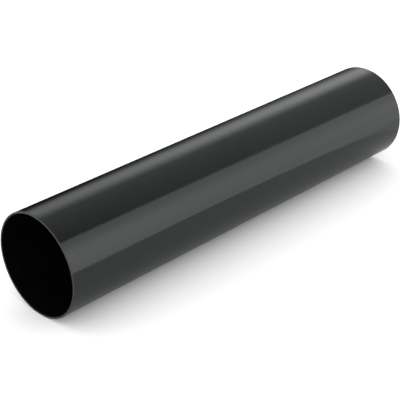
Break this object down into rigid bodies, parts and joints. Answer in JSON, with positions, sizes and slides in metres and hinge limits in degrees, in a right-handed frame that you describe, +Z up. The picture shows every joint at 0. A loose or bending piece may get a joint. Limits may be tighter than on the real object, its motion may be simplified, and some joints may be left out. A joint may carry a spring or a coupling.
{
  "type": "plastic downpipe",
  "caption": "Straight round thin-walled rainwater pipe in glossy near-black plastic, with plain square-cut ends, lying on its side.",
  "frame": {"origin": "on the surface that the pipe lies on, under the middle of its length", "axes": "+X along the pipe's axis, +Z up, +Y across the pipe"},
  "size_m": [0.51, 0.11, 0.11],
  "materials": {
    "pipe_plastic": "smooth extruded uPVC in near-black, glossy outside, dull inside, with sawn and deburred ends"
  },
  "bodies": {
    "root": {"downpipe": "pipe_plastic"}
  },
  "joints": []
}
